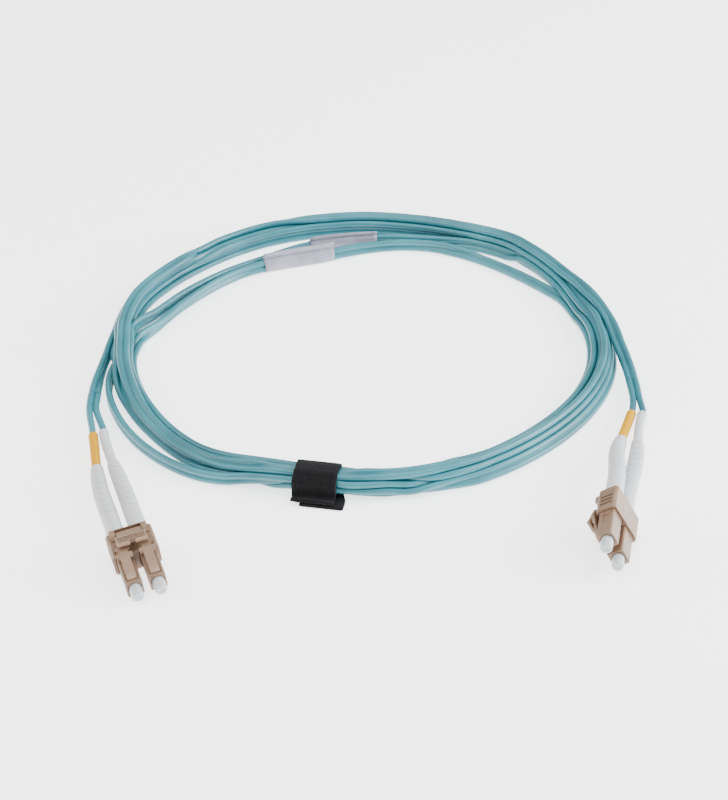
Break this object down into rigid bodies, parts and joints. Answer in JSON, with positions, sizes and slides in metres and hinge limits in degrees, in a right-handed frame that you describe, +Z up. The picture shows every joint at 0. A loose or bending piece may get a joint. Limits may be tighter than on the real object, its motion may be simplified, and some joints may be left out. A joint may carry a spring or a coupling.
{
  "type": "fiber optic patch cord",
  "caption": "Coiled duplex fiber optic patch cord in aqua zip cord, with duplex LC plugs at both ends, dust caps, marker sleeves, wrap labels and a hook-and-loop tie.",
  "frame": {"origin": "middle of the foot print of the plugs, clips, boots, labels and tie, on the surface the cord lies on; the cord itself is left out of it", "axes": "+Z up from the surface; -Y towards the front, where both connectors lie; +X to the right, towards connector b"},
  "size_m": [0.1653, 0.2001, 0.0139],
  "materials": {
    "plug_plastic": "satin",
    "boot_plastic": "satin",
    "cap_plastic": "satin",
    "cord_jacket": "satin",
    "marker_yellow": "satin",
    "marker_white": "satin",
    "ferrule_ceramic": "polished",
    "metal_parts": "satin",
    "spring_steel": "satin",
    "fiber_buffer": "satin",
    "label_film": "matte",
    "tie_fabric": "matte"
  },
  "bodies": {
    "root": {"coil_turns": "cord_jacket", "tail_a": "cord_jacket", "tail_b": "cord_jacket", "loose_turn_1": "cord_jacket", "loose_turn_2": "cord_jacket", "label_1": "label_film", "label_2": "label_film", "tie_strap": "tie_fabric", "a_duplex_clip": "plug_plastic", "a1_plug_housing": "plug_plastic", "a1_spring": "spring_steel", "a1_rear_body": "metal_parts", "a1_crimp_sleeve": "metal_parts", "a1_boot": "boot_plastic", "a1_marker_sleeve": "marker_yellow", "a1_cord_leg": "cord_jacket", "a2_plug_housing": "plug_plastic", "a2_spring": "spring_steel", "a2_rear_body": "metal_parts", "a2_crimp_sleeve": "metal_parts", "a2_boot": "boot_plastic", "a2_marker_sleeve": "marker_white", "a2_cord_leg": "cord_jacket", "b_duplex_clip": "plug_plastic", "b1_plug_housing": "plug_plastic", "b1_spring": "spring_steel", "b1_rear_body": "metal_parts", "b1_crimp_sleeve": "metal_parts", "b1_boot": "boot_plastic", "b1_marker_sleeve": "marker_white", "b1_cord_leg": "cord_jacket", "b2_plug_housing": "plug_plastic", "b2_spring": "spring_steel", "b2_rear_body": "metal_parts", "b2_crimp_sleeve": "metal_parts", "b2_boot": "boot_plastic", "b2_marker_sleeve": "marker_yellow", "b2_cord_leg": "cord_jacket"},
    "trigger_a": {"a_trigger": "plug_plastic"},
    "latch_a1": {"a1_latch_lever": "plug_plastic"},
    "ferrule_a1": {"a1_ferrule": "ferrule_ceramic", "a1_ferrule_flange": "metal_parts", "a1_buffered_fiber": "fiber_buffer"},
    "cap_a1": {"a1_dust_cap": "cap_plastic"},
    "latch_a2": {"a2_latch_lever": "plug_plastic"},
    "ferrule_a2": {"a2_ferrule": "ferrule_ceramic", "a2_ferrule_flange": "metal_parts", "a2_buffered_fiber": "fiber_buffer"},
    "cap_a2": {"a2_dust_cap": "cap_plastic"},
    "trigger_b": {"b_trigger": "plug_plastic"},
    "latch_b1": {"b1_latch_lever": "plug_plastic"},
    "ferrule_b1": {"b1_ferrule": "ferrule_ceramic", "b1_ferrule_flange": "metal_parts", "b1_buffered_fiber": "fiber_buffer"},
    "cap_b1": {"b1_dust_cap": "cap_plastic"},
    "latch_b2": {"b2_latch_lever": "plug_plastic"},
    "ferrule_b2": {"b2_ferrule": "ferrule_ceramic", "b2_ferrule_flange": "metal_parts", "b2_buffered_fiber": "fiber_buffer"},
    "cap_b2": {"b2_dust_cap": "cap_plastic"}
  },
  "joints": [
    {"name": "trigger_a_press", "type": "hinge", "parent": "root", "child": "trigger_a", "pos_m": [-0.06445, -0.07125, 0.00725], "axis": [0.9444, 0.2978, 0.1392], "range_deg": [0, 9.6], "stiffness_Nm_per_rad": 0.05},
    {"name": "latch_a1_flex", "type": "hinge", "parent": "root", "child": "latch_a1", "pos_m": [-0.06189, -0.08889, 0.00518], "axis": [-0.9444, -0.2978, -0.1392], "range_deg": [0, 7], "stiffness_Nm_per_rad": 0.0004},
    {"name": "ferrule_a1_slide", "type": "slide", "parent": "root", "child": "ferrule_a1", "axis": [-0.3007, 0.9537, 0], "range_m": [0, 0.0015], "stiffness_N_per_m": 1000, "deforming": ["a1_spring"]},
    {"name": "cap_a1_pull", "type": "slide", "parent": "root", "child": "cap_a1", "axis": [0.3007, -0.9537, 0], "range_m": [0, 0.012]},
    {"name": "latch_a2_flex", "type": "hinge", "parent": "root", "child": "latch_a2", "pos_m": [-0.05599, -0.08703, 0.00605], "axis": [-0.9444, -0.2978, -0.1392], "range_deg": [0, 7], "stiffness_Nm_per_rad": 0.0004},
    {"name": "ferrule_a2_slide", "type": "slide", "parent": "root", "child": "ferrule_a2", "axis": [-0.3007, 0.9537, 0], "range_m": [0, 0.0015], "stiffness_N_per_m": 1000, "deforming": ["a2_spring"]},
    {"name": "cap_a2_pull", "type": "slide", "parent": "root", "child": "cap_a2", "axis": [0.3007, -0.9537, 0], "range_m": [0, 0.012]},
    {"name": "trigger_b_press", "type": "hinge", "parent": "root", "child": "trigger_b", "pos_m": [0.06421, -0.06051, 0.00489], "axis": [-0.5129, 0.1413, 0.8467], "range_deg": [0, 9.6], "stiffness_Nm_per_rad": 0.05},
    {"name": "latch_b1_flex", "type": "hinge", "parent": "root", "child": "latch_b1", "pos_m": [0.06406, -0.07844, 0.0041], "axis": [0.5129, -0.1413, -0.8467], "range_deg": [0, 7], "stiffness_Nm_per_rad": 0.0004},
    {"name": "ferrule_b1_slide", "type": "slide", "parent": "root", "child": "ferrule_b1", "axis": [0.1785, 0.9824, -0.0558], "range_m": [0, 0.0015], "stiffness_N_per_m": 1000, "deforming": ["b1_spring"]},
    {"name": "cap_b1_pull", "type": "slide", "parent": "root", "child": "cap_b1", "axis": [-0.1785, -0.9824, 0.0558], "range_m": [0, 0.012]},
    {"name": "latch_b2_flex", "type": "hinge", "parent": "root", "child": "latch_b2", "pos_m": [0.06085, -0.07756, 0.0094], "axis": [0.5129, -0.1413, -0.8467], "range_deg": [0, 7], "stiffness_Nm_per_rad": 0.0004},
    {"name": "ferrule_b2_slide", "type": "slide", "parent": "root", "child": "ferrule_b2", "axis": [0.1785, 0.9824, -0.0558], "range_m": [0, 0.0015], "stiffness_N_per_m": 1000, "deforming": ["b2_spring"]},
    {"name": "cap_b2_pull", "type": "slide", "parent": "root", "child": "cap_b2", "axis": [-0.1785, -0.9824, 0.0558], "range_m": [0, 0.012]}
  ],
  "couplings": [
    {"joint": "latch_a1_flex", "follows": "trigger_a_press", "ratio": 0.725},
    {"joint": "latch_a2_flex", "follows": "trigger_a_press", "ratio": 0.725},
    {"joint": "latch_b1_flex", "follows": "trigger_b_press", "ratio": 0.725},
    {"joint": "latch_b2_flex", "follows": "trigger_b_press", "ratio": 0.725}
  ]
}
